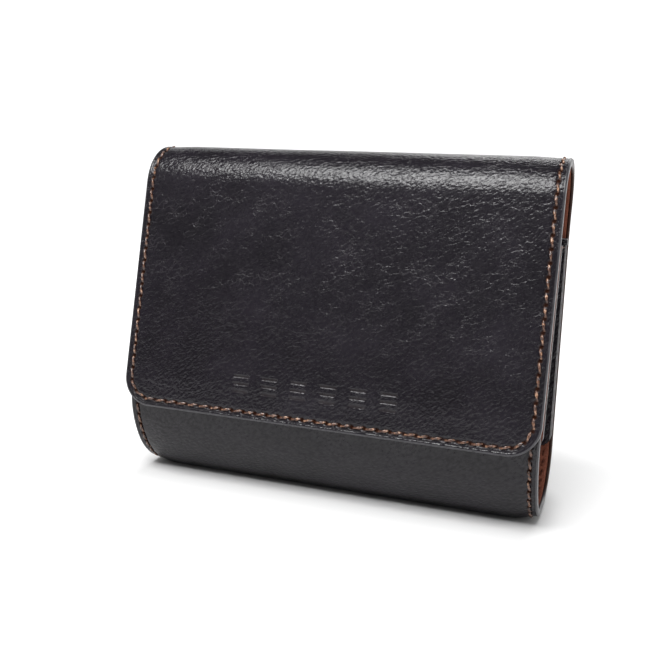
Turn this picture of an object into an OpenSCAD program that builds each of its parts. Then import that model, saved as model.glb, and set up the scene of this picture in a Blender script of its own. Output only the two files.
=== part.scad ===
// Leather carrying case for headphones: one strip folded round as front, base, back and flap,
// closed at the sides by two gussets that fold inwards. It stands on its base: the front faces -Y,
// up is +Z, and the origin is under the middle of the case.

/* [Case] */
// Width of the strip, side to side
case_w = 140; // [100:1:200]
// Height of the closed case
case_h = 113.8; // [105:0.1:135]
// Outer radius of the arch that the strip makes over the top
arch_r = 15.2; // [13:0.1:18]
// Lean of the flap from upright, in degrees
flap_lean = 12.2; // [10:0.1:14]
// Height of the flap's lower edge
flap_bottom = 26.4; // [20:0.1:40]
// Radius of the flap's lower corners
flap_corner_r = 10; // [4:0.5:20]
// Height of the front panel's upper edge
front_top = 88; // [80:0.5:90]
// Lean of the front panel from upright, in degrees
front_lean = 11.3; // [10:0.1:13]
// Clearance between the flap and the top of the front panel
flap_gap = 0.35; // [0.3:0.05:1]

/* [Base] */
// Height at which the front panel starts to curve under
front_bend_h = 31.8; // [25:0.1:40]
// Height at which the back panel starts to curve under
back_bend_h = 16.4; // [10:0.1:25]
// Front edge of the flat strip that the case stands on
rest_front = -1.8; // [-5:0.1:3]
// Back edge of the flat strip that the case stands on
rest_back = 7; // [6:0.1:16]

/* [Layers] */
// Thickness of the outer leather
leather_t = 0.9; // [0.6:0.05:1.2]
// Thickness of the stiffener boards and magnets
core_t = 1.0; // [0.6:0.05:1.2]
// Thickness of the suede lining over the boards
suede_t = 0.5; // [0.3:0.05:1]
// Margin between a board and the edges of its panel
board_margin = 7; // [6:0.5:15]

/* [Gussets] */
// Thickness of the gusset leather
gusset_t = 0.8; // [0.5:0.05:1.2]
// Thickness of the gusset lining
gusset_suede_t = 0.5; // [0.3:0.05:1]
// Width of the part of a gusset that is sewn to a panel
flange_w = 6; // [5:0.5:9]
// Slope of each half of the inward fold, from the width direction, in degrees
fold_slope = 52; // [45:1:60]
// Height of the gusset's lower end at the front panel
gusset_front_end = 27; // [22:0.5:34]
// Height of the gusset's lower end at the back panel
gusset_back_end = 18; // [17:0.5:24]
// Radius of the gusset's lower corners
gusset_corner_r = 5; // [3:0.5:8]
// Height of the turned hem on the gusset's upper end
hem_h = 2.4; // [1.5:0.1:4]
// Thickness of the turned hem
hem_t = 0.5; // [0.3:0.05:0.8]

/* [Stitching] */
// Distance of a seam from the edge of the strip
seam_inset = 2.5; // [2.2:0.1:4]
// Width of the groove that the thread lies in
thread_w = 0.8; // [0.5:0.05:1]
// Depth of the groove that the thread lies in
thread_t = 0.35; // [0.2:0.05:0.4]

/* [Closure] */
// Diameter of each hidden magnet
magnet_d = 10; // [6:0.5:14]
// Distance between the two magnets of a pair
magnet_pitch = 70; // [40:1:90]
// Height of the magnets
magnet_h = 41; // [38:0.5:60]

/* [Hidden] */

$fn = 64;
black = "#2b292e";
brown = "#5f3223";
thread_tan = "#b8763c";

wall_t = leather_t + core_t + suede_t;
step_deg = 4;                       // pitch of the points on a curved outline
bend_steps = 14;                    // points on each curve under the case
crease_deg = 40;                    // from each end of the arch to its crease
front_handle = 14;                  // reach of the front bend's curve along the front panel
rest_handle = 6;                    // reach of the front bend's curve along the base
back_handle = 0.45;                 // share of the back bend's box that its curve reaches

arch_end = 180 - flap_lean;
front_crease = arch_end - crease_deg;
arch_z = case_h - arch_r;
flap_top = arch_z + arch_r * sin(flap_lean);
back_y = (arch_r * (1 + cos(flap_lean)) + tan(flap_lean) * (flap_top - flap_bottom)) / 2;
arch_y = back_y - arch_r;

// Front surface of the flap, and of the front panel, at height z
function flap_y(z) = arch_y - arch_r * cos(flap_lean) - tan(flap_lean) * (flap_top - z);
function front_y(z) = flap_y(front_top) + (wall_t + flap_gap) / cos(flap_lean)
    + tan(front_lean) * (z - front_top);

// Points of the strip's outline, d deep in its thickness. Each is [y, z].
function bend(p, i, d) =
    let (t = i / bend_steps, s = 1 - t,
         at = s * s * s * p[0] + 3 * s * s * t * p[1] + 3 * s * t * t * p[2] + t * t * t * p[3],
         dir = s * s * (p[1] - p[0]) + 2 * s * t * (p[2] - p[1]) + t * t * (p[3] - p[2]))
    at + d * [-dir[1], dir[0]] / norm(dir);
function along_front(z, d) = [front_y(z), z] + d * [cos(front_lean), -sin(front_lean)];
front_bend = [
    [front_y(front_bend_h), front_bend_h],
    [front_y(front_bend_h) - front_handle * sin(front_lean), front_bend_h - front_handle * cos(front_lean)],
    [rest_front - rest_handle, 0],
    [rest_front, 0]
];
back_bend = [
    [rest_back, 0],
    [rest_back + back_handle * (back_y - rest_back), 0],
    [back_y, back_bend_h * (1 - back_handle)],
    [back_y, back_bend_h]
];
function arch(from, to, d) =
    let (n = ceil((to - from) / step_deg))
    [for (i = [0 : n]) let (a = from + (to - from) * i / n)
        [arch_y, arch_z] + (arch_r - d) * [cos(a), sin(a)]];
function body_path(d) = concat(
    [along_front(front_top, d)],
    [for (i = [0 : bend_steps]) bend(front_bend, i, d)],
    [for (i = [0 : bend_steps]) bend(back_bend, i, d)],
    arch(0, crease_deg, d));
function spine_path(d) = arch(crease_deg, front_crease, d);
function along_flap(z, d) = [flap_y(z), z] + d * [cos(flap_lean), -sin(flap_lean)];
function flap_path(d) = concat(arch(front_crease, arch_end, d), [along_flap(flap_bottom, d)]);
function reversed(list) = [for (i = [len(list) - 1 : -1 : 0]) list[i]];

// A layer of the strip: the space between two outlines, w wide about x
module layer(outer, inner, w, x = 0) {
    translate([x, 0, 0]) rotate([90, 0, 90])
        linear_extrude(w, center = true) polygon(concat(outer, reversed(inner)));
}

// Everything inside the flap's outline seen from the front, m from its edge
module flap_outline(m) {
    half = case_w / 2 - m;
    low = flap_bottom + m;
    r = flap_corner_r - m * 0.5;
    rotate([90, 0, 0]) linear_extrude(4 * back_y, center = true) union() {
        translate([-half, low + r]) square([2 * half, 2 * case_h]);
        translate([-half + r, low - 4 * m / case_w]) square([2 * (half - r), r + 5]);
        for (side = [-1, 1])
            translate([side * (half - r), low + r]) circle(r);
    }
}

// Thread lies flush in a groove, so each seam is both a groove and a thread
module side_seam(path_outer, path_inner, side) {
    layer(path_outer, path_inner, thread_w, side * (case_w / 2 - seam_inset));
}
module front_edge_seam() {
    low = front_top - seam_inset - thread_w / 2;
    layer([along_front(low + thread_w, 0), along_front(low, 0)],
        [along_front(low + thread_w, thread_t), along_front(low, thread_t)],
        case_w - 2 * seam_inset - 4 * thread_w);
}
module flap_seam() {
    intersection() {
        layer(flap_path(-1), flap_path(thread_t), case_w);
        layer(flap_path(0), flap_path(wall_t), case_w);
        difference() {
            flap_outline(seam_inset - thread_w / 2);
            flap_outline(seam_inset + thread_w / 2);
        }
    }
}

module core_discs(place, lean) {
    for (side = [-1, 1])
        translate([side * magnet_pitch / 2, place[0], place[1]]) rotate([90 - lean, 0, 0])
            cylinder(h = core_t, d = magnet_d, center = true);
}
module front_discs() {
    core_discs(along_front(magnet_h, leather_t + core_t / 2), front_lean);
}
module flap_discs() {
    core_discs(along_flap(magnet_h, leather_t + core_t / 2), flap_lean);
}

// A board: part of the core layer between two heights on a straight panel
module board(low, high, w) {
    layer([high[0], low[0]], [high[1], low[1]], w);
}
module front_board_shape() {
    low = front_bend_h + 2;
    high = front_top - board_margin;
    board([along_front(low, leather_t), along_front(low, leather_t + core_t)],
        [along_front(high, leather_t), along_front(high, leather_t + core_t)],
        case_w - 2 * board_margin);
}
module back_board_shape() {
    low = back_bend_h + 2;
    high = arch_z - 2;
    outer = back_y - leather_t;
    board([[outer, low], [outer - core_t, low]], [[outer, high], [outer - core_t, high]],
        case_w - 2 * board_margin);
}
module flap_board_shape() {
    low = flap_bottom + board_margin;
    high = flap_top - 2;
    board([along_flap(low, leather_t), along_flap(low, leather_t + core_t)],
        [along_flap(high, leather_t), along_flap(high, leather_t + core_t)],
        case_w - 2 * board_margin);
}

module body_leather() {
    color(black) difference() {
        layer(body_path(0), body_path(leather_t), case_w);
        for (side = [-1, 1])
            side_seam(body_path(-1), body_path(thread_t), side);
        front_edge_seam();
    }
}
module spine_leather() {
    color(black) difference() {
        layer(spine_path(0), spine_path(leather_t), case_w);
        for (side = [-1, 1])
            side_seam(spine_path(-1), spine_path(thread_t), side);
    }
}
module flap_leather() {
    color(black) difference() {
        intersection() {
            layer(flap_path(0), flap_path(leather_t), case_w);
            flap_outline(0);
        }
        flap_seam();
    }
}

module body_lining() {
    color(brown) difference() {
        layer(body_path(leather_t), body_path(wall_t), case_w);
        front_board_shape();
        back_board_shape();
    }
}
module spine_lining() {
    color(brown) layer(spine_path(leather_t), spine_path(wall_t), case_w);
}
module flap_lining() {
    color(brown) difference() {
        intersection() {
            layer(flap_path(leather_t), flap_path(wall_t), case_w);
            flap_outline(0);
        }
        flap_board_shape();
    }
}

module front_board() {
    color("dimgray") difference() {
        front_board_shape();
        front_discs();
    }
}
module back_board() {
    color("dimgray") back_board_shape();
}
module flap_board() {
    color("dimgray") difference() {
        flap_board_shape();
        flap_discs();
    }
}
module front_magnets() {
    color("silver") front_discs();
}
module flap_magnets() {
    color("silver") flap_discs();
}

// A gusset folds inwards as a V. Its back half runs along the back panel and then in towards the
// fold; its front half is the mirror image, about the plane midway between the two panels.
gusset_top = front_top - 0.8;
function panel_y(z) = front_y(z) + wall_t / cos(front_lean);
back_inner = back_y - wall_t;
fold_weld = 0.05;                   // how far each half runs past the fold, to be one with the other
// Height at which the planes of the two panels would meet, far above the case
apex_z = front_top + (back_inner - panel_y(front_top)) / tan(front_lean);
function midplane_y(z) = back_inner - (apex_z - z) * tan(front_lean / 2);

// Seen from above: the back half, from d0 to d1 off the inside of the back panel
module gusset_plan(d0, d1) {
    edge = case_w / 2;
    root = edge - flange_w;
    reach = 2 * back_y;
    function turn(d) = [root + d * tan(fold_slope / 2), back_inner - d];
    function far(d) = [root, back_inner] - reach * [cos(fold_slope), sin(fold_slope)]
        + d * [sin(fold_slope), -cos(fold_slope)];
    polygon([[edge, back_inner - d0], turn(d0), far(d0), far(d1), turn(d1), [edge, back_inner - d1]]);
}
module gusset_half(d0, d1) {
    intersection() {
        linear_extrude(apex_z) gusset_plan(d0, d1);
        rotate([90, 0, 90]) linear_extrude(case_w)
            polygon([[midplane_y(0) - fold_weld, 0], [midplane_y(apex_z) - fold_weld, apex_z],
                [2 * back_y, apex_z], [2 * back_y, 0]]);
    }
}
module gusset_layer(low, high, d0, d1) {
    intersection() {
        union() {
            gusset_half(d0, d1);
            translate([0, back_inner, apex_z])
                mirror([0, cos(front_lean / 2), -sin(front_lean / 2)])
                    translate([0, -back_inner, -apex_z]) gusset_half(d0, d1);
        }
        translate([0, -case_w, low]) cube([case_w, 2 * case_w, high - low]);
    }
}
// The gusset's side view, with its lower corners rounded
module gusset_side() {
    r = gusset_corner_r;
    front = panel_y(gusset_front_end + r) + r;
    back = back_inner - r;
    low_front = gusset_front_end + r;
    low_back = gusset_back_end + r;
    rotate([90, 0, 90]) linear_extrude(case_w) union() {
        polygon([[front - 3 * r, low_front], [front, low_front], [front, gusset_front_end],
            [back, gusset_back_end], [back, low_back], [back + 3 * r, low_back],
            [back + 3 * r, 2 * case_h], [front - 3 * r, 2 * case_h]]);
        translate([front, low_front]) circle(r);
        translate([back, low_back]) circle(r);
    }
}
module gusset_part(d0, d1) {
    intersection() {
        gusset_layer(gusset_back_end - 1, gusset_top, d0, d1);
        gusset_side();
    }
}
gusset_outside = gusset_suede_t + gusset_t;
seam_z = gusset_top - hem_h - 1.4;

module right_gusset() {
    color(black) gusset_part(gusset_suede_t, gusset_outside);
}
module right_gusset_lining() {
    color(brown) gusset_part(0, gusset_suede_t);
}
module right_gusset_hem() {
    color(black) gusset_layer(gusset_top - hem_h, gusset_top, gusset_outside, gusset_outside + hem_t);
}
module right_gusset_stitching() {
    color(thread_tan) gusset_layer(seam_z - thread_w, seam_z, gusset_outside, gusset_outside + thread_t);
}
module left_gusset() {
    mirror([1, 0, 0]) right_gusset();
}
module left_gusset_lining() {
    mirror([1, 0, 0]) right_gusset_lining();
}
module left_gusset_hem() {
    mirror([1, 0, 0]) right_gusset_hem();
}
module left_gusset_stitching() {
    mirror([1, 0, 0]) right_gusset_stitching();
}

module right_body_stitching() {
    color(thread_tan) side_seam(body_path(0), body_path(thread_t), 1);
}
module left_body_stitching() {
    color(thread_tan) side_seam(body_path(0), body_path(thread_t), -1);
}
module front_edge_stitching() {
    color(thread_tan) front_edge_seam();
}
module spine_stitching() {
    color(thread_tan)
        for (side = [-1, 1])
            side_seam(spine_path(0), spine_path(thread_t), side);
}
module flap_stitching() {
    color(thread_tan) flap_seam();
}

body_leather();
spine_leather();
flap_leather();
body_lining();
spine_lining();
flap_lining();
front_board();
back_board();
flap_board();
left_gusset();
right_gusset();
left_gusset_lining();
right_gusset_lining();
left_gusset_hem();
right_gusset_hem();
left_gusset_stitching();
right_gusset_stitching();
left_body_stitching();
right_body_stitching();
front_edge_stitching();
spine_stitching();
flap_stitching();
front_magnets();
flap_magnets();
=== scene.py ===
"""Looks of the headphone carrying case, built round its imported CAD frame.

The case is one strip of leather and lining folded round as front, base, back, arch and flap.
A point of the strip is (u, s, h): u across its width, s along it from the front panel's upper
edge, and h deep below its outer face. All lengths here are millimetres until MM scales them.
"""
import math

import bpy
import numpy as np
from mathutils import Matrix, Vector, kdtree


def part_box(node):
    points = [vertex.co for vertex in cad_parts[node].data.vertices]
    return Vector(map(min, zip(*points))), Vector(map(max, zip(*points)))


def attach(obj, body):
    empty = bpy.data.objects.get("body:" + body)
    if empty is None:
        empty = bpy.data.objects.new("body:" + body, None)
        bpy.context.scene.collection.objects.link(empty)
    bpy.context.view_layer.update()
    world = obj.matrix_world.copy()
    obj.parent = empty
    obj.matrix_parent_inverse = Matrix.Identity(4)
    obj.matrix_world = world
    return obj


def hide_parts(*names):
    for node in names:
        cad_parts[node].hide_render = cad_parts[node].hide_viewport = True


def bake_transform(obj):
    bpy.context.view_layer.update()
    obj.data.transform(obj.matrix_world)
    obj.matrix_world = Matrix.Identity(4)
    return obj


MM = 0.001
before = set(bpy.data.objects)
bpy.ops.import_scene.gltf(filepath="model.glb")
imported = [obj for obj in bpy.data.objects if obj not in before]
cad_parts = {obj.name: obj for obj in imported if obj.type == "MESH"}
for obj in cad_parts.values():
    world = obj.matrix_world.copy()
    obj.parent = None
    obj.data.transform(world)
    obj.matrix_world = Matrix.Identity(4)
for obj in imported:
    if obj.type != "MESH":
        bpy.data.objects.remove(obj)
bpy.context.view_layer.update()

# ---------------------------------------------------------------- dimensions, as in the CAD part
body_low, body_high = (np.array(v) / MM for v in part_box("body_leather"))
HALF_W = body_high[0]
BACK_Y = body_high[1]
CASE_H = 113.8
ARCH_R = 15.2
FLAP_LEAN = math.radians(12.2)
FLAP_BOTTOM = 26.4
FLAP_CORNER_R = 10.0
FRONT_TOP = 88.0
FRONT_LEAN = math.radians(11.3)
FLAP_GAP = 0.35
FRONT_BEND_H, BACK_BEND_H = 31.8, 16.4
REST_FRONT, REST_BACK = -1.8, 7.0
FRONT_HANDLE, REST_HANDLE, BACK_HANDLE = 14.0, 6.0, 0.45
WALL = 2.4
LEATHER_T = 0.9
SEAM_INSET = 2.5
STITCH_PITCH = 4.15
FLAP_FLARE = 0.6          # the flap and arch are this much wider than the body on each side
CORNER_LIFT = 1.5         # the ends of the soft base curl up by this much

ARCH_Y = BACK_Y - ARCH_R
ARCH_Z = CASE_H - ARCH_R
FLAP_TOP = ARCH_Z + ARCH_R * math.sin(FLAP_LEAN)


def flap_y(z):
    return ARCH_Y - ARCH_R * math.cos(FLAP_LEAN) - math.tan(FLAP_LEAN) * (FLAP_TOP - z)


def front_y(z):
    clear = (WALL + FLAP_GAP) / math.cos(FLAP_LEAN)
    return flap_y(FRONT_TOP) + clear + math.tan(FRONT_LEAN) * (z - FRONT_TOP)


def panel_y(z):
    """Inner face of the front panel."""
    return front_y(z) + WALL / math.cos(FRONT_LEAN)


# ---------------------------------------------------------------- the strip's outline
def bezier(p, n=160):
    t = np.linspace(0, 1, n)[:, None]
    p = [np.array(q, float) for q in p]
    return (1 - t) ** 3 * p[0] + 3 * (1 - t) ** 2 * t * p[1] + 3 * (1 - t) * t * t * p[2] + t ** 3 * p[3]


def outline():
    """Dense points of the outer face as (y, z), from the front's upper edge to the flap's lower one."""
    bend_top = np.array([front_y(FRONT_BEND_H), FRONT_BEND_H])
    down = np.array([-math.sin(FRONT_LEAN), -math.cos(FRONT_LEAN)])
    turn = np.radians(np.linspace(0, 180 - math.degrees(FLAP_LEAN), 420))
    parts = [
        np.linspace([front_y(FRONT_TOP), FRONT_TOP], bend_top, 200),
        bezier([bend_top, bend_top + FRONT_HANDLE * down, (REST_FRONT - REST_HANDLE, 0), (REST_FRONT, 0)]),
        np.linspace([REST_FRONT, 0], [REST_BACK, 0], 60),
        bezier([(REST_BACK, 0), (REST_BACK + BACK_HANDLE * (BACK_Y - REST_BACK), 0),
                (BACK_Y, BACK_BEND_H * (1 - BACK_HANDLE)), (BACK_Y, BACK_BEND_H)]),
        np.linspace([BACK_Y, BACK_BEND_H], [BACK_Y, ARCH_Z], 240),
        np.stack([ARCH_Y + ARCH_R * np.cos(turn), ARCH_Z + ARCH_R * np.sin(turn)], -1),
        np.linspace([flap_y(FLAP_TOP), FLAP_TOP], [flap_y(FLAP_BOTTOM), FLAP_BOTTOM], 240),
    ]
    points = np.concatenate([parts[0]] + [p[1:] for p in parts[1:]])
    marks = np.cumsum([len(parts[0])] + [len(p) - 1 for p in parts[1:]]) - 1
    return points, marks


LINE, MARKS = outline()
ARC = np.concatenate([[0], np.cumsum(np.hypot(*np.diff(LINE, axis=0).T))])
TANGENT = np.gradient(LINE, ARC, axis=0)
TANGENT /= np.linalg.norm(TANGENT, axis=1)[:, None]
INWARD = np.stack([-TANGENT[:, 1], TANGENT[:, 0]], -1)
LENGTH = ARC[-1]
ARCH_START, ARCH_END = ARC[MARKS[4]], ARC[MARKS[5]]
MIDDLE = (ARCH_START + ARCH_END) / 2          # the top of the arch, where the two halves of the strip meet


def smooth(t):
    t = np.clip(t, 0, 1)
    return t * t * (3 - 2 * t)


def on_strip(u, s, h):
    """(u, s, h) arrays to points in metres."""
    y = np.interp(s, ARC, LINE[:, 0]) + np.interp(s, ARC, INWARD[:, 0]) * h
    z = np.interp(s, ARC, LINE[:, 1]) + np.interp(s, ARC, INWARD[:, 1]) * h
    wide = 1 + FLAP_FLARE / HALF_W * smooth((s - ARCH_START + 12) / (MIDDLE - ARCH_START + 12))
    z = z + CORNER_LIFT * smooth((np.abs(u) - HALF_W + 8) / 8) * np.exp(-(z / 7) ** 2)
    return np.stack([u * wide, y, z], -1) * MM


# ---------------------------------------------------------------- camera and light
def pose_matrix(right, up, back, place):
    """Matrix of an object at a place, from the directions of its own three axes."""
    rows = [[*row, p] for row, p in zip(np.stack([right, up, back], -1), place)]
    return Matrix(rows + [[0, 0, 0, 1]])


def camera():
    """A 50 mm lens in front and to the right of the case, a little above it."""
    azimuth, elevation, roll = (math.radians(a) for a in (20.24, 10.34, 1.82))
    target = np.array([-7.51, 3.2, 55.98])
    distance = 306.8
    back = np.array([math.sin(azimuth) * math.cos(elevation),
                     -math.cos(azimuth) * math.cos(elevation), math.sin(elevation)])
    level = np.cross([0, 0, 1.0], back)
    level /= np.linalg.norm(level)
    upright = np.cross(back, level)
    right = math.cos(roll) * level + math.sin(roll) * upright
    up = -math.sin(roll) * level + math.cos(roll) * upright
    data = bpy.data.cameras.new("camera")
    data.lens = 49.96
    data.sensor_width = 36.0
    data.clip_start = 0.01
    obj = bpy.data.objects.new("camera", data)
    bpy.context.collection.objects.link(obj)
    place = (target + back * distance) * MM
    obj.matrix_world = pose_matrix(right, up, back, place)
    bpy.context.scene.camera = obj


def area_light(name, place, aim, size, power):
    data = bpy.data.lights.new(name, "AREA")
    data.shape = "RECTANGLE"
    data.size, data.size_y = size
    data.energy = power
    obj = bpy.data.objects.new(name, data)
    bpy.context.collection.objects.link(obj)
    back = np.array(place, float) - np.array(aim, float)
    back /= np.linalg.norm(back)
    side = np.cross([0, 0, 1.0], back)
    side /= np.linalg.norm(side)
    obj.matrix_world = pose_matrix(side, np.cross(back, side), back, place)


def studio():
    """Five softboxes in a white room. Places and sizes are metres, powers are watts."""
    area_light("key_softbox", (-0.08, -0.42, 0.82), (0, 0, 0.10), (0.66, 0.32), 12.8)
    area_light("front_screen", (-0.40, -0.90, 0.62), (0, 0, 0.08), (1.5, 0.50), 0.8)
    area_light("left_softbox", (-0.8, 0.0, 0.35), (0, 0, 0.05), (0.4, 0.5), 0.8)
    area_light("right_softbox", (0.85, 0.05, 0.30), (0, 0, 0.06), (0.4, 0.6), 2.0)
    area_light("back_softbox", (0.1, 0.85, 0.75), (0, 0, 0.05), (0.7, 0.3), 1.8)
    world = bpy.data.worlds.new("white_room")
    bpy.context.scene.world = world
    world.use_nodes = True
    nodes, links = world.node_tree.nodes, world.node_tree.links
    background = nodes["Background"]
    background.inputs["Color"].default_value = (1, 1, 1, 1)
    seen = nodes.new("ShaderNodeMath")              # white to look at, dim as a light
    seen.operation = "MULTIPLY_ADD"
    links.new(nodes.new("ShaderNodeLightPath").outputs["Is Camera Ray"], seen.inputs[0])
    seen.inputs[1].default_value, seen.inputs[2].default_value = 0.96, 0.07
    links.new(seen.outputs[0], background.inputs["Strength"])
    bpy.context.scene.view_settings.view_transform = "Standard"


# ---------------------------------------------------------------- materials
class Nodes:
    """Short names for building a node material."""

    def __init__(self, name):
        self.material = bpy.data.materials.new(name)
        self.material.use_nodes = True
        self.tree = self.material.node_tree
        self.shader = self.tree.nodes["Principled BSDF"]

    def add(self, kind, settings=None, **inputs):
        node = self.tree.nodes.new(kind)
        for key, value in (settings or {}).items():
            setattr(node, key, value)
        for key, value in inputs.items():
            socket = node.inputs[int(key[1:])] if key[0] == "i" and key[1:].isdigit() else node.inputs[key]
            if isinstance(value, bpy.types.NodeSocket):
                self.tree.links.new(value, socket)
            else:
                socket.default_value = value
        return node

    def place(self):
        return self.add("ShaderNodeTexCoord").outputs["Object"]

    def stretched(self, vector, rotation, scale):
        """Space in which a pattern is turned by rotation and then drawn out by scale."""
        return self.add("ShaderNodeMapping", {"vector_type": "TEXTURE"}, Vector=vector, Rotation=rotation,
                        Scale=scale).outputs["Vector"]

    def noise(self, vector, scale, detail=2.0, rough=0.5):
        return self.add("ShaderNodeTexNoise", Vector=vector, Scale=scale, Detail=detail, Roughness=rough)

    def math(self, kind, a, b=0.5, clamp=False):
        return self.add("ShaderNodeMath", {"operation": kind, "use_clamp": clamp}, i0=a, i1=b).outputs[0]

    def ramp(self, value, stops):
        node = self.add("ShaderNodeValToRGB", Fac=value)
        ramp = node.color_ramp
        while len(ramp.elements) < len(stops):
            ramp.elements.new(0.5)
        for element, (at, color) in zip(ramp.elements, stops):
            element.position = at
            element.color = (*color, 1)
        return node.outputs["Color"]

    def bump(self, height, distance, strength=1.0, normal=None):
        inputs = {"Height": height, "Distance": distance, "Strength": strength}
        if normal is not None:
            inputs["Normal"] = normal
        return self.add("ShaderNodeBump", **inputs).outputs["Normal"]

    def set(self, **inputs):
        """Set the shader's sockets, named with _ for each space, and give the material back."""
        for key, value in inputs.items():
            socket = self.shader.inputs[key.replace("_", " ")]
            if isinstance(value, bpy.types.NodeSocket):
                self.tree.links.new(value, socket)
            else:
                socket.default_value = value
        return self.material


PEBBLE_HEIGHT, WRINKLE_DEPTH = 0.00025, 0.00006       # metres, as the bump node takes them


def leather_material():
    """Black grained leather: pebbles of about a millimetre, and longer slanting wrinkles."""
    n = Nodes("leather")
    at = n.place()
    warp = n.noise(at, 420.0, 2.0).outputs["Color"]
    warped = n.add("ShaderNodeMixRGB", {"blend_type": "LINEAR_LIGHT"}, Fac=0.0016, Color1=at,
                   Color2=warp).outputs[0]
    tilted = n.stretched(at, (0, math.radians(-38), 0), (1.7, 1, 1))
    pebble = n.noise(tilted, 1150.0, 2.0, 0.5).outputs["Fac"]
    slant = n.stretched(warped, (0, math.radians(-32), 0), (2.2, 1, 1))
    cells = n.add("ShaderNodeTexVoronoi", {"feature": "DISTANCE_TO_EDGE"}, Vector=slant, Scale=560.0)
    groove = n.ramp(cells.outputs["Distance"], [(0.0, (0.0,) * 3), (0.06, (0.6,) * 3), (0.16, (1.0,) * 3)])
    spread = n.noise(slant, 200.0, 2.0).outputs["Fac"]
    patches = n.ramp(spread, [(0.38, (0.3,) * 3), (0.64, (1.0,) * 3)])
    height = n.add("ShaderNodeSeparateXYZ", i0=at).outputs["Z"]
    worn = n.ramp(height, [(0.020, (0.15,) * 3), (0.070, (1.0,) * 3)])
    groove = n.math("MULTIPLY", n.math("SUBTRACT", groove, 1.0), n.math("MULTIPLY", patches, worn))
    normal = n.bump(groove, WRINKLE_DEPTH, normal=n.bump(pebble, PEBBLE_HEIGHT))
    base = (0.0082, 0.0067, 0.0096)
    dark = tuple(c * 0.72 for c in base)
    light = tuple(c * 1.35 for c in base)
    tone = n.ramp(n.noise(at, 60.0, 4.0).outputs["Fac"], [(0.3, dark), (0.5, base), (0.72, light)])
    crease_highlight_paint = n.math("POWER", n.math("MULTIPLY", groove, -1.0), 3.0)       # painted highlight: pale lines along the wrinkles
    tone = n.add("ShaderNodeMixRGB", Fac=n.math("MULTIPLY", crease_highlight_paint, 0.6), Color1=tone,
                 Color2=(0.028, 0.024, 0.029, 1)).outputs[0]
    rough = n.math("MULTIPLY_ADD", pebble, 0.08)
    rough.node.inputs[2].default_value = 0.20
    pit = n.add("ShaderNodeAttribute", {"attribute_name": "pit"}).outputs["Fac"]
    rough = n.math("ADD", rough, n.math("MULTIPLY", pit, 0.7), clamp=True)
    polished = n.ramp(pebble, [(0.35, (0.31,) * 3), (0.65, (0.46,) * 3)])
    shine = n.math("SUBTRACT", polished, n.math("MULTIPLY", pit, 0.43), clamp=True)
    tone = n.add("ShaderNodeMixRGB", Fac=pit, Color1=tone, Color2=(0.024, 0.009, 0.005, 1)).outputs[0]
    return n.set(Base_Color=tone, Roughness=rough, Normal=normal, IOR=1.45, Specular_IOR_Level=shine)


def edge_material():
    """The black paint on the strip's cut edges: smooth, slightly glossy, faintly uneven. Towards the back it
    is darker brown and duller, as painted shade.
    """
    n = Nodes("edge_paint")
    at = n.place()
    wave = n.noise(at, 300.0, 3.0).outputs["Fac"]
    tone = n.ramp(wave, [(0.3, (0.020, 0.019, 0.022)), (0.7, (0.042, 0.040, 0.046))])
    rough = n.ramp(wave, [(0.3, (0.26,) * 3), (0.7, (0.40,) * 3)])
    # painted shade: where the pit attribute marks the back, the edge is darker brown and less shiny
    behind = n.add("ShaderNodeAttribute", {"attribute_name": "pit"}).outputs["Fac"]
    tone = n.add("ShaderNodeMixRGB", Fac=behind, Color1=tone, Color2=(0.030, 0.014, 0.010, 1)).outputs[0]
    shine = n.math("SUBTRACT", 0.5, n.math("MULTIPLY", behind, 0.4))
    return n.set(Base_Color=tone, Roughness=rough, Normal=n.bump(wave, 0.00008, 0.5),
                 Specular_IOR_Level=shine)


def rim_highlight_material():
    """Light grey on the gussets' cut and turned edges, lightly polished: a painted highlight standing in for
    the light these edges catch.
    """
    n = Nodes("rim_highlight")
    tone = n.ramp(n.noise(n.place(), 700.0, 3.0).outputs["Fac"],
                  [(0.35, (0.17, 0.165, 0.17)), (0.65, (0.27, 0.26, 0.265))])
    return n.set(Base_Color=tone, Roughness=0.42, Specular_IOR_Level=0.5)


def suede_material():
    """Reddish-brown suede: matt, with a short uneven nap."""
    n = Nodes("suede")
    at = n.place()
    nap = n.noise(at, 1900.0, 4.0, 0.7).outputs["Fac"]
    drift = n.noise(at, 45.0, 3.0).outputs["Fac"]
    mix = n.math("ADD", n.math("MULTIPLY", nap, 0.55), n.math("MULTIPLY", drift, 0.45))
    tone = n.ramp(mix, [(0.34, (0.100, 0.036, 0.024)), (0.5, (0.20, 0.068, 0.042)),
                        (0.68, (0.31, 0.120, 0.080))])
    return n.set(Base_Color=tone, Roughness=0.92, Normal=n.bump(nap, 0.00016, 0.8),
                 Sheen_Weight=0.2, Sheen_Roughness=0.5, Sheen_Tint=(0.75, 0.36, 0.26, 1),
                 Specular_IOR_Level=0.2)


def thread_material(name, dark, middle, light, rough=0.30, shine=0.8):
    """Waxed sewing thread, paler where its fibres are worn."""
    n = Nodes(name)
    at = n.place()
    fibre = n.noise(at, 5200.0, 2.0, 0.6).outputs["Fac"]
    stain = n.noise(at, 1000.0, 2.0).outputs["Fac"]
    mix = n.math("ADD", n.math("MULTIPLY", fibre, 0.35), n.math("MULTIPLY", stain, 0.65))
    tone = n.ramp(mix, [(0.42, dark), (0.53, middle), (0.65, light)])
    return n.set(Base_Color=tone, Roughness=rough, Specular_IOR_Level=shine,
                 Normal=n.bump(fibre, 0.00006, 0.6))


def thread_materials():
    """Tan thread outside, brown on the lining and black on the gussets."""
    tan = thread_material("thread", (0.030, 0.009, 0.004), (0.100, 0.036, 0.015), (0.41, 0.24, 0.15))
    brown = thread_material("brown_thread", (0.065, 0.022, 0.014), (0.11, 0.037, 0.022),
                            (0.17, 0.060, 0.037), rough=0.8, shine=0.1)
    black = thread_material("black_thread", (0.007, 0.006, 0.007), (0.010, 0.009, 0.010),
                            (0.016, 0.014, 0.015), rough=0.6, shine=0.2)
    return [tan, brown, black]


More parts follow.
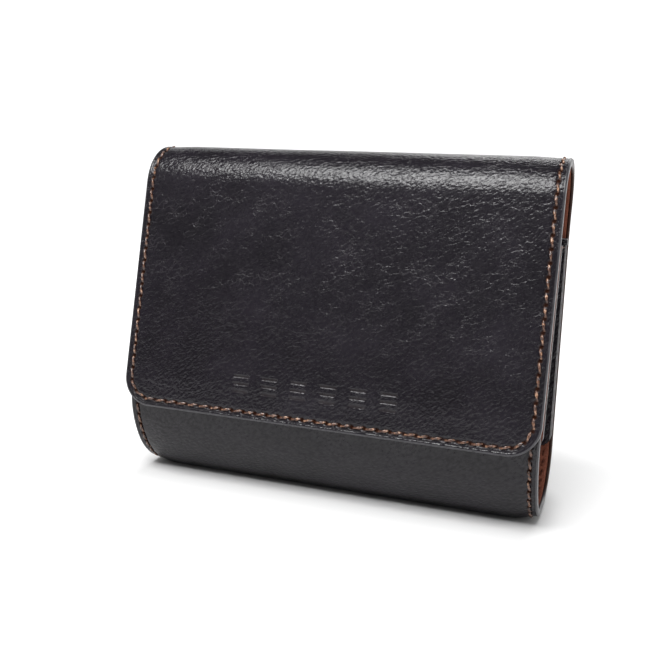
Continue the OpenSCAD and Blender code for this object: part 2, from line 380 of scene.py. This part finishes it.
def board_material():
    n = Nodes("board")
    tone = n.ramp(n.noise(n.place(), 900.0, 4.0).outputs["Fac"],
                  [(0.35, (0.14, 0.13, 0.12)), (0.65, (0.24, 0.23, 0.21))])
    return n.set(Base_Color=tone, Roughness=0.8)


def magnet_material():
    n = Nodes("magnet")
    rough = n.ramp(n.noise(n.place(), 700.0, 3.0).outputs["Fac"], [(0.3, (0.18,) * 3), (0.7, (0.34,) * 3)])
    return n.set(Base_Color=(0.72, 0.72, 0.72, 1), Metallic=1.0, Roughness=rough)


# ---------------------------------------------------------------- relief of the leather
RNG = np.random.default_rng(7)
WAVES = [(RNG.uniform(0.03, 0.16), RNG.uniform(0, math.tau), RNG.uniform(0, math.tau), RNG.uniform(0.5, 1))
         for _ in range(14)]


def undulation(u, s):
    """Slow hills in leather that is never quite flat, about -1 to 1."""
    total = 0
    for rate, heading, phase, size in WAVES:
        total = total + size * np.sin(rate * (u * math.cos(heading) + s * math.sin(heading)) + phase)
    return total / 6.0


# The mark pressed in the flap: a plain row of blocks, each of three level bars
MARK_CENTER_U, MARK_HEIGHT = -1.5, 37.6
MARK_S = LENGTH - (MARK_HEIGHT - FLAP_BOTTOM) / math.cos(FLAP_LEAN)
BLOCKS, BLOCK_PITCH, BLOCK_WIDE = 6, 10.0, 5.6
BAR_STEP, BAR_HIGH, BAR_WALL = 2.5, 1.25, 0.34


def pressed_mark(u, s):
    """Depth, 0 to 1, of the bars pressed in the flap."""
    depth = np.zeros_like(u)
    for block in range(BLOCKS):
        middle = MARK_CENTER_U + (block - (BLOCKS - 1) / 2) * BLOCK_PITCH
        for bar in (-1, 0, 1):
            across = np.abs(u - middle) - BLOCK_WIDE / 2
            reach = np.maximum(across, np.abs(s - MARK_S - bar * BAR_STEP) - BAR_HIGH / 2)
            depth = np.maximum(depth, 1 - smooth((reach + BAR_WALL) / BAR_WALL))
    return depth


def relief(u, s, d, holes):
    """How far the leather's face lies below the plain strip at distance d from its edge."""
    puff = -0.28 * smooth((d - 3.4) / 9.0) - 0.10 * undulation(u, s) * smooth((d - 4) / 10)
    channel = 0.22 * np.exp(-((d - SEAM_INSET) / 0.75) ** 2)
    crease = 0.10 * np.exp(-((d - 1.2) / 0.20) ** 2)
    bead = -0.04 * np.exp(-((d - 0.75) / 0.30) ** 2)
    flat = smooth(d / 0.9)
    depth = (channel + puff) * flat + crease + bead * flat
    pit = pressed_mark(u, s) * 0.12
    for i in np.nonzero(np.abs(d - SEAM_INSET) < 1.3)[0]:
        _, _, reach = holes.find((u[i], s[i], 0))
        pit[i] = math.exp(-(reach / 0.74) ** 4)
        depth[i] += 0.45 * pit[i]
    return depth + 0.26 * pressed_mark(u, s), pit


# ---------------------------------------------------------------- half of the strip as a mesh
RIM_WIDE = 6.0            # width of the rim in which the strip's section is modelled


class Half:
    """The part of the strip between the top of the arch and one of its free ends."""

    def __init__(self, end, corner_r, floor_r, direction):
        self.end, self.corner_r, self.floor_r, self.direction = end, corner_r, floor_r, direction

    def corner(self, d):
        """Corner radius and half-width of the straight end, d in from the edge."""
        radius = max(self.corner_r - d, self.floor_r)
        return radius, HALF_W - d - radius

    def perimeter(self, step, arc_steps, columns, d, focus=None):
        """Points (u, s) at distance d from the free edge, from the arch's left to its right."""
        radius, half = self.corner(d)
        run = abs(MIDDLE - self.end) - max(self.corner_r, RIM_WIDE + self.floor_r)
        count = max(2, int(round(run / step)))
        away = abs(MIDDLE - self.end) - (uneven(count + 1, focus) + 1) / 2 * run      # distance from the end
        turn = np.linspace(0, math.pi / 2, arc_steps + 1)[1:-1]
        left = np.stack([np.full(count + 1, -(HALF_W - d)), away], -1)
        arc = np.stack([-(half + radius * np.cos(turn)), d + radius * (1 - np.sin(turn))], -1)
        if self.corner_r > RIM_WIDE:
            left[-1, 1] = d + radius
        straight = np.stack([half * columns, np.full(len(columns), d)], -1)
        side = np.concatenate([left, arc])
        points = np.concatenate([side, straight, side[::-1] * [-1, 1]])
        return np.stack([points[:, 0], self.end - self.direction * points[:, 1]], -1), len(side)


def uneven(count, focus=None):
    """Places from -1 to 1, closer together round a focus (centre, half-width, share)."""
    t = np.linspace(-1, 1, count)
    if focus is None:
        return t
    dense = np.linspace(-1, 1, 4000)
    weight = 1 + focus[2] * (np.abs(dense - focus[0]) < focus[1])
    total = np.concatenate([[0], np.cumsum((weight[1:] + weight[:-1]) / 2)])
    return np.interp(np.linspace(0, total[-1], count), total, dense)


def build_half(name, half, section, columns, step, arc_steps, relief_of, materials, material_of, focus=None):
    """section is a list of (d, h) from the outer face round the edge to the inner face."""
    rings = []
    for d, h in section:
        points, side = half.perimeter(step, arc_steps, columns, d, focus)
        rings.append(points)
    rings = np.array(rings)                              # section, perimeter, 2
    m_count, k_count = rings.shape[:2]
    d_grid = np.array([d for d, _ in section])[:, None] * np.ones(k_count)
    h_grid = np.array([h for _, h in section])[:, None] * np.ones(k_count)
    rows = side
    inner_cols = len(columns) - 2
    left, right = rings[0, :rows], rings[0, ::-1][:rows]
    mix = ((columns[1:-1] + 1) / 2)[None, :, None]
    face = left[:, None] * (1 - mix) + right[:, None] * mix    # rows, inner columns, 2
    deep = section[0][0]
    ends = [(0, section[0][1]), (m_count - 1, section[-1][1])]
    u = [rings[..., 0].ravel()] + [face[..., 0].ravel()] * 2
    s = [rings[..., 1].ravel()] + [face[..., 1].ravel()] * 2
    to_edge = np.minimum(HALF_W - np.abs(face[..., 0]), np.abs(face[..., 1] - half.end)).ravel()
    to_edge = np.maximum(to_edge, deep)
    d = [d_grid.ravel(), to_edge, to_edge]
    h = [h_grid.ravel(), np.full(face[..., 0].size, ends[0][1]), np.full(face[..., 0].size, ends[1][1])]
    u, s, d, h = (np.concatenate(v) for v in (u, s, d, h))
    outer = np.zeros(len(u), bool)
    outer[:m_count * k_count] = np.repeat([r < relief_of[1] for r in range(m_count)], k_count)
    outer[m_count * k_count:m_count * k_count + face[..., 0].size] = True
    pit = np.zeros(len(u))
    if relief_of[0]:
        picked = np.nonzero(outer)[0]
        sunk, pit[picked] = relief_of[0](u[picked], s[picked], d[picked])
        h[picked] += sunk
    points = on_strip(u, s, h)
    points[:, 2] = np.maximum(points[:, 2], 0)
    if half.direction < 0:
        pit[~outer] = smooth((points[~outer, 1] / MM - 8) / 8)      # painted shade: the edge is darker and duller towards the back

    def ring(m, k):
        return m * k_count + k

    def cell(layer, i, j):
        """Vertex of the outer (0) or inner (1) face at row i, column j."""
        m = ends[layer][0]
        if i == rows:
            return ring(m, rows + j)
        if j == 0:
            return ring(m, i)
        if j == inner_cols + 1:
            return ring(m, k_count - 1 - i)
        return m_count * k_count + layer * rows * inner_cols + i * inner_cols + j - 1

    faces, kinds = [], []
    for m in range(m_count - 1):
        for k in range(k_count - 1):
            faces.append((ring(m, k), ring(m, k + 1), ring(m + 1, k + 1), ring(m + 1, k)))
            kinds.append(material_of(m))
    for layer in (0, 1):
        for i in range(rows):
            for j in range(inner_cols + 1):
                quad = (cell(layer, i, j), cell(layer, i, j + 1),
                        cell(layer, i + 1, j + 1), cell(layer, i + 1, j))
                faces.append(quad if layer == 0 else quad[::-1])
                kinds.append(0)
    cut = [cell(0, 0, j) for j in range(inner_cols + 2)]
    cut += [ring(m, k_count - 1) for m in range(1, m_count - 1)]
    cut += [cell(1, 0, j) for j in range(inner_cols + 1, -1, -1)]
    cut += [ring(m, 0) for m in range(m_count - 2, 0, -1)]
    faces.append(tuple(reversed(cut)))
    kinds.append(0)
    if half.direction < 0:
        faces = [tuple(reversed(f)) for f in faces]
    obj = mesh_object(name, points, faces, materials, kinds)
    obj.data.attributes.new("pit", "FLOAT", "POINT").data.foreach_set("value", pit.astype(np.float32))
    return obj


def mesh_object(name, points, faces, materials, kinds=None):
    """A smooth-shaded mesh, in metres. kinds gives each face its material."""
    mesh = bpy.data.meshes.new(name)
    mesh.from_pydata([tuple(p) for p in points], [], faces)
    mesh.validate()
    for material in materials:
        mesh.materials.append(material)
    if kinds is not None:
        mesh.polygons.foreach_set("material_index", kinds)
    mesh.polygons.foreach_set("use_smooth", [len(f) <= 4 for f in faces])
    mesh.update()
    obj = bpy.data.objects.new(name, mesh)
    bpy.context.collection.objects.link(obj)
    return obj


# ---------------------------------------------------------------- stitches
def seam_holes(half):
    """Needle holes along the seam of one half: (u, s) points a stitch apart."""
    points, _ = half.perimeter(0.5, 24, np.linspace(-1, 1, 400), SEAM_INSET)
    run = np.concatenate([[0], np.cumsum(np.hypot(*np.diff(points, axis=0).T))])
    count = int(round(run[-1] / STITCH_PITCH))
    at = np.linspace(0, run[-1], count + 1)
    return np.stack([np.interp(at, run, points[:, 0]), np.interp(at, run, points[:, 1])], -1)


def tree_of(points):
    tree = kdtree.KDTree(len(points))
    for i, (u, s) in enumerate(points):
        tree.insert((u, s, 0), i)
    tree.balance()
    return tree


THREAD_SIDES, THREAD_RINGS = 12, 13
THREAD_WIDE, THREAD_HIGH = 0.39, 0.32
THREAD_SLANT = 0.30


def stitch(a, b):
    """One twisted stitch from hole a to hole b, as (u, s, rise) points and faces."""
    points, faces = [], []
    for i in range(THREAD_RINGS):
        t = i / (THREAD_RINGS - 1)
        middle = a + (b - a) * (0.10 + 0.80 * t)
        along = (b - a) / np.linalg.norm(b - a)
        across = np.array([-along[1], along[0]])
        middle = middle + across * THREAD_SLANT * (1 - 2 * t)
        rise = 0.46 * math.sin(math.pi * t) ** 0.7 - 0.30
        girth = 0.55 + 0.45 * math.sin(math.pi * t) ** 0.7
        for j in range(THREAD_SIDES):
            turn = math.tau * j / THREAD_SIDES
            lobe = 1 + 0.24 * math.cos(2 * (turn - 4.6 * t))
            w = THREAD_WIDE * girth * lobe * math.cos(turn)
            v = THREAD_HIGH * girth * lobe * math.sin(turn)
            at = middle + across * w
            points.append((at[0], at[1], rise + v))
    for i in range(THREAD_RINGS - 1):
        for j in range(THREAD_SIDES):
            k = (j + 1) % THREAD_SIDES
            p, q = i * THREAD_SIDES, (i + 1) * THREAD_SIDES
            faces.append((p + j, p + k, q + k, q + j))
    last = (THREAD_RINGS - 1) * THREAD_SIDES
    faces.append(tuple(range(THREAD_SIDES))[::-1])
    faces.append(tuple(last + j for j in range(THREAD_SIDES)))
    return points, faces


def stitch_row(holes, depth_of, out):
    """All stitches of a row of holes, as (u, s, h) points and faces."""
    all_points, all_faces = [], []
    for a, b in zip(holes[:-1], holes[1:]):
        points, faces = stitch(a, b)
        start = len(all_points)
        base = depth_of((a + b) / 2)
        all_points += [(u, s, base - out * h) for u, s, h in points]
        flip = out < 0
        all_faces += [tuple(start + v for v in (f[::-1] if flip else f)) for f in faces]
    return np.array(all_points), all_faces


# ---------------------------------------------------------------- gussets
FLANGE_W = 6.0
FOLD_SLOPE = math.radians(52)
GUSSET_T, GUSSET_SUEDE_T = 0.8, 0.5
GUSSET_FRONT_END, GUSSET_BACK_END = 27.0, 18.0
GUSSET_TOP = FRONT_TOP - 0.1
HEM_H, HEM_T, HEM_FLARE = 1.7, 0.5, 0.5
FLARE_REACH = 3.0         # how far from a gusset's side edges they bend outward or inward
BACK_INNER = BACK_Y - WALL


def gusset_line(z, offset, count=150):
    """Plan of the right gusset at height z: (x, y) points and the arc length to each."""
    front, back = panel_y(z), BACK_INNER
    middle = (front + back) / 2
    fold = HALF_W - FLANGE_W - (back - front) / 2 / math.tan(FOLD_SLOPE)
    corners = np.array([[HALF_W, front], [HALF_W - FLANGE_W, front], [fold, middle],
                        [HALF_W - FLANGE_W, back], [HALF_W, back]])
    run = np.concatenate([[0], np.cumsum(np.hypot(*np.diff(corners, axis=0).T))])
    at = np.linspace(0, run[-1], 400)
    fine = np.stack([np.interp(at, run, corners[:, i]) for i in (0, 1)], -1)
    reach = 14
    padded = np.concatenate([2 * fine[0] - fine[reach:0:-1], fine, 2 * fine[-1] - fine[-2:-reach - 2:-1]])
    kernel = np.hanning(2 * reach + 1)
    kernel /= kernel.sum()
    soft = np.stack([np.convolve(padded[:, i], kernel, "valid") for i in (0, 1)], -1)
    tangent = np.gradient(soft, axis=0)
    tangent /= np.linalg.norm(tangent, axis=1)[:, None]
    outside = np.stack([-tangent[:, 1], tangent[:, 0]], -1)
    outside *= -1 if outside[0, 1] < 0 else 1
    line = soft + outside * offset
    keep = np.linspace(0, len(line) - 1, count)
    index = np.arange(len(line))
    return np.stack([np.interp(keep, index, line[:, i]) for i in (0, 1)], -1), np.interp(keep, index, at)


LEVELS = np.linspace(10, 92, 42)
GUSSET_RUN = gusset_line(60.0, 0.0)[1][-1]
PLAN_CACHE = {}


def gusset_point(q, z, offset):
    """Right gusset: q from 0 at its front edge to 1 at its back edge, z up, offset out of the bag."""
    if offset not in PLAN_CACHE:
        PLAN_CACHE[offset] = np.array([gusset_line(level, offset)[0] for level in LEVELS])
    plans = PLAN_CACHE[offset]
    columns = np.linspace(0, 1, plans.shape[1])
    level = min(max((z - LEVELS[0]) / (LEVELS[1] - LEVELS[0]), 0), len(LEVELS) - 1.001)
    low = int(level)
    mix = level - low
    at = [(1 - mix) * np.interp(q, columns, plans[low, :, i])
          + mix * np.interp(q, columns, plans[low + 1, :, i]) for i in (0, 1)]
    return at[0], at[1], z


def gusset_low(q):
    """Height of the gusset's lower end, with its corners rounded."""
    radius = 4.0
    from_side = min(q, 1 - q) * GUSSET_RUN
    lift = radius - math.sqrt(max(radius ** 2 - (radius - min(from_side, radius)) ** 2, 0))
    return GUSSET_FRONT_END + (GUSSET_BACK_END - GUSSET_FRONT_END) * smooth(q * 1.1 - 0.05) + lift


def gusset_sheet(name, offset_in, offset_out, top, edge_out, materials, side):
    """A closed sheet between two offsets, whose rims take the second material.

    edge_out is how far its front and back edges stand out. side is 1 for right and -1 for left.
    """
    cols, rows = 96, 46
    points, faces, kinds = [], [], []
    for offset, face_sign in ((offset_out, 1), (offset_in, -1)):
        for i in range(rows + 1):
            for j in range(cols + 1):
                q = j / cols
                low = gusset_low(q)
                z = low + (top - low) * i / rows
                x, y, z = gusset_point(q, z, offset)
                fold = math.sin(math.pi * min(max((q - 0.12) / 0.76, 0), 1))
                sway = 0.22 * fold * math.sin(0.21 * z + 5 * q) * math.sin(0.083 * z + 9 * q + side)
                flare = edge_out[0 if q < 0.5 else 1]
                flare *= smooth(1 - min(q, 1 - q) * GUSSET_RUN / FLARE_REACH)
                points.append((side * (x + flare + sway) * MM, y * MM, z * MM))
    layer = (rows + 1) * (cols + 1)

    def at(l, i, j):
        return l * layer + i * (cols + 1) + j

    def put(face, kind):
        faces.append(face if side > 0 else face[::-1])
        kinds.append(kind)

    for i in range(rows):
        for j in range(cols):
            # the rim faces and the outermost columns take the second material: on the hide, a light grey
            # painted highlight
            rim = int(j in (0, cols - 1))
            put((at(0, i, j), at(0, i, j + 1), at(0, i + 1, j + 1), at(0, i + 1, j)), rim)
            put((at(1, i, j), at(1, i + 1, j), at(1, i + 1, j + 1), at(1, i, j + 1)), rim)
    for j in range(cols):
        put((at(1, 0, j), at(1, 0, j + 1), at(0, 0, j + 1), at(0, 0, j)), 1)
        put((at(0, rows, j), at(0, rows, j + 1), at(1, rows, j + 1), at(1, rows, j)), 1)
    for i in range(rows):
        put((at(0, i, 0), at(0, i + 1, 0), at(1, i + 1, 0), at(1, i, 0)), 1)
        put((at(0, i, cols), at(1, i, cols), at(1, i + 1, cols), at(0, i + 1, cols)), 1)
    obj = mesh_object(name, points, faces, materials, kinds)
    obj.data.set_sharp_from_angle(angle=math.radians(45))
    return obj


def gusset_hem(name, side, materials):
    """The turned hem on the gusset's upper end: a rounded band that wraps over it."""
    low, high = GUSSET_TOP - HEM_H, GUSSET_TOP + 0.35
    inside, outside = 0.25, GUSSET_T + GUSSET_SUEDE_T + HEM_T + 0.15
    r = 0.42
    section = []
    for cx, cz, start in ((outside - r, high - r, 0), (inside + r, high - r, 90),
                          (inside + r, low + r, 180), (outside - r, low + r, 270)):
        for a in range(0, 91, 30):
            turn = math.radians(start + a)
            section.append((cx + r * math.cos(turn), cz + r * math.sin(turn)))
    cols, n = 110, len(section)
    points = []
    for j in range(cols + 1):
        q = 0.012 + 0.976 * j / cols
        for offset, z in section:
            x, y, z = gusset_point(q, z, round(offset, 4))
            flare = HEM_FLARE * smooth(1 - min(q, 1 - q) * GUSSET_RUN / FLARE_REACH)
            points.append((side * (x + flare) * MM, y * MM, z * MM))
    faces = [(j * n + k, j * n + (k + 1) % n, (j + 1) * n + (k + 1) % n, (j + 1) * n + k)
             for j in range(cols) for k in range(n)]
    # the hem's top takes the second material: a light grey painted highlight
    on_top = [int(min(section[k][1], section[(k + 1) % n][1]) > high - 0.25) for k in range(n)]
    kinds = on_top * cols + [0, 0]
    faces += [tuple(range(n))[::-1], tuple(cols * n + k for k in range(n))]
    if side < 0:
        faces = [f[::-1] for f in faces]
    return mesh_object(name, points, faces, materials, kinds)


def gusset_stitches(name, side, material):
    """The row of stitches under the hem."""
    row_z = GUSSET_TOP - HEM_H - 0.6
    margin = 0.4
    count = int(round((GUSSET_RUN - 2 * margin) / STITCH_PITCH))
    along = np.linspace(margin, GUSSET_RUN - margin, count + 1)
    holes = np.stack([along, np.full(count + 1, row_z)], -1)
    rows, faces = stitch_row(holes, lambda p: 0.0, -1)
    face_offset = GUSSET_T + GUSSET_SUEDE_T
    points = []
    for a, z, rise in rows:
        x, y, z = gusset_point(a / GUSSET_RUN, z, round(face_offset + rise, 2))
        points.append((side * x * MM, y * MM, z * MM))
    if side > 0:
        faces = [f[::-1] for f in faces]
    return mesh_object(name, points, faces, [material])


def gusset_pieces(side, word, leather, rim_highlight, suede, thread):
    """Leather, suede, hem and stitches of one gusset, a hairline apart."""
    hairline = 0.02
    hide = gusset_sheet(word + "_gusset_hide", GUSSET_SUEDE_T + hairline, GUSSET_SUEDE_T + GUSSET_T,
                        GUSSET_TOP, (0.55, -0.3), [leather, rim_highlight], side)
    cloth = gusset_sheet(word + "_gusset_suede", 2 * hairline, GUSSET_SUEDE_T - hairline,
                         GUSSET_TOP - 0.1, (0.35, -0.5), [suede, suede], side)
    hem = gusset_hem(word + "_gusset_turned_hem", side, [leather, rim_highlight])
    row = gusset_stitches(word + "_gusset_stitches", side, thread)
    for piece, slot, node in ((hide, "leather", word + "_gusset"), (cloth, "suede", word + "_gusset_lining"),
                              (hem, "leather", word + "_gusset_hem"),
                              (row, "thread", word + "_gusset_stitching")):
        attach(piece, "pouch")
        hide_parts(node)


# ---------------------------------------------------------------- putting the case together
def leather_section():
    """From the outer face's inner ring, round the painted edge, to the hidden face."""
    face = [(d, 0.0) for d in (RIM_WIDE, 5.0, 4.3, 3.8, 3.4, 3.1, 2.8, 2.5, 2.2, 1.95, 1.72, 1.55, 1.4,
                               1.3, 1.2, 1.1, 1.0, 0.88, 0.75, 0.62, 0.5)]
    edge = [(0.34, 0.03), (0.2, 0.11), (0.09, 0.25), (0.02, 0.45), (0.0, 0.8), (0.0, 1.2), (0.0, 1.6),
            (0.02, 1.95), (0.09, 2.15), (0.2, 2.29), (0.34, 2.37), (0.55, WALL + 0.01), (0.8, WALL + 0.01)]
    back = [(0.92, WALL - 0.15), (0.96, LEATHER_T + 0.15), (1.1, LEATHER_T), (RIM_WIDE, LEATHER_T)]
    return face + edge + back, len(face), len(face) + len(edge)


def lining_section():
    """From the inner face's inner ring to its edge, with the seam's channel, and back under it."""
    shown = [(RIM_WIDE, WALL), (4.2, WALL), (2.9, WALL - 0.08), (2.5, WALL - 0.14), (2.1, WALL - 0.08),
             (1.5, WALL), (1.12, WALL - 0.02), (1.02, WALL - 0.12)]
    under = [(1.0, LEATHER_T + 0.2), (1.15, LEATHER_T + 0.05), (RIM_WIDE, LEATHER_T + 0.05)]
    return shown + under, len(shown)


def strip_pieces(half, label, stands_for, leather, edge, suede, threads):
    """Leather, lining and stitches of one half of the strip."""
    holes = seam_holes(half)
    tree = tree_of(holes)
    section, shown, painted = leather_section()
    step, columns, focus = 0.7, uneven(96), None
    if label == "flap":
        columns = uneven(230, (MARK_CENTER_U / 60, 29 / 60, 3.0))
        place = (MARK_S - MIDDLE) / (LENGTH - MIDDLE - FLAP_CORNER_R) * 2 - 1
        step, focus = 0.5, (place, 0.09, 2.4)
    hide = build_half(label + "_wrap_leather", half, section, columns, step, 14,
                      (lambda u, s, d: relief(u, s, d, tree), shown), [leather, edge],
                      lambda m: 1 if shown - 2 <= m < painted else 0, focus)
    section, shown = lining_section()
    cloth = build_half(label + "_wrap_lining", half, section, uneven(40), 2.4, 8,
                       (lambda u, s, d: (0.16 * undulation(u, s) * smooth((d - 4) / 8), 0), shown), [suede],
                       lambda m: 0)
    outer, outer_faces = stitch_row(holes, lambda p: 0.10, 1)
    inner, inner_faces = stitch_row(holes, inner_depth, -1)
    points = on_strip(*np.concatenate([outer, inner]).T)
    faces = outer_faces + [tuple(len(outer) + v for v in f) for f in inner_faces]
    if half.direction < 0:
        faces = [f[::-1] for f in faces]
    points[:, 2] = np.maximum(points[:, 2], 0)
    per_stitch = len(inner_faces) // (len(holes) - 1)
    kinds = [0] * len(outer_faces)
    for a, b in zip(holes[:-1], holes[1:]):
        kinds += [2 if inner_depth((a + b) / 2) > WALL else 1] * per_stitch
    seam = mesh_object(label + "_wrap_stitches", points, faces, threads, kinds)
    for piece, slot, nodes in zip((hide, cloth, seam), ("leather", "suede", "thread"), stands_for):
        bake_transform(piece)
        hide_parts(*nodes)


def inner_depth(p):
    """Depth of the inner face that a stitch lies on: the gusset's flange, or the bare lining."""
    z = np.interp(p[1], ARC, LINE[:, 1])
    front = p[1] < ARC[MARKS[1]]
    low = (GUSSET_FRONT_END if front else GUSSET_BACK_END) + 2
    on_gusset = abs(p[0]) > HALF_W - FLANGE_W and low < z < GUSSET_TOP - HEM_H and p[1] < ARCH_START
    return WALL + (GUSSET_T + GUSSET_SUEDE_T if on_gusset else 0.0)


def floor_material():
    """Pale grey, and emitting white light away from the case: painted light, with a painted contact shadow
    where the emission fades out near the case's foot.
    """
    n = Nodes("pale_floor")
    at = n.place()
    tone = n.ramp(n.noise(at, 3.0).outputs["Fac"], [(0.4, (0.61,) * 3), (0.6, (0.63,) * 3)])
    beyond = at                                           # how far outside a box round the case's foot
    for operation, value in (("ABSOLUTE", (0, 0, 0)), ("SUBTRACT", (0.066, 0.012, 0)),
                             ("MAXIMUM", (0, 0, 0)), ("MULTIPLY", (1.9, 1, 1))):
        beyond = n.add("ShaderNodeVectorMath", {"operation": operation}, i0=beyond,
                       i1=value).outputs["Vector"]
    away = n.add("ShaderNodeVectorMath", {"operation": "LENGTH"}, i0=beyond).outputs["Value"]
    # painted light and painted shadow: the emission is least at the case's foot
    painted_glow_and_shadow = n.ramp(away, [(0.003, (0.0,) * 3), (0.018, (0.30,) * 3), (0.08, (0.46,) * 3),
                         (0.7, (0.95,) * 3)])
    return n.set(Base_Color=tone, Roughness=0.85, Emission_Color=painted_glow_and_shadow, Emission_Strength=1.0)


def floor():
    """A pale sweep: level under the case, curving up far behind it."""
    low, bend_r, columns = -0.0001, 1.2, 9                # metres, as is the whole sweep
    curve = [(bend_r + bend_r * math.sin(t), bend_r - bend_r * math.cos(t))
             for t in np.linspace(0.1, 1.5, 14)]
    profile = [(-3.0, low), (bend_r, low)] + curve + [(2 * bend_r, 1.8)]
    points = [(x, y, z) for x in np.linspace(-4, 4, columns) for y, z in profile]
    n = len(profile)
    faces = [(i * n + j, (i + 1) * n + j, (i + 1) * n + j + 1, i * n + j + 1)
             for i in range(columns - 1) for j in range(n - 1)]
    obj = mesh_object("floor_sweep", points, faces, [floor_material()])


def main():
    camera()
    floor()
    studio()
    leather = leather_material()
    edge, rim_highlight = edge_material(), rim_highlight_material()
    suede = suede_material()
    threads = thread_materials()
    board, magnet = board_material(), magnet_material()

    body = Half(0.0, 2.0, 0.6, -1)
    flap = Half(LENGTH, FLAP_CORNER_R, 0.6, 1)
    strip_pieces(body, "body",
                 (["body_leather"], ["body_lining"],
                  ["left_body_stitching", "right_body_stitching", "front_edge_stitching"]),
                 leather, edge, suede, threads)
    strip_pieces(flap, "flap",
                 (["flap_leather", "spine_leather"], ["flap_lining", "spine_lining"],
                  ["flap_stitching", "spine_stitching"]),
                 leather, edge, suede, threads)

    for side, word in ((1, "right"), (-1, "left")):
        gusset_pieces(side, word, leather, rim_highlight, suede, threads[0])

    for names, material in ((("front_board", "back_board", "flap_board"), board),
                            (("front_magnets", "flap_magnets"), magnet)):
        for name in names:
            for material_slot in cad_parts[name].material_slots:
                material_slot.material = material


main()
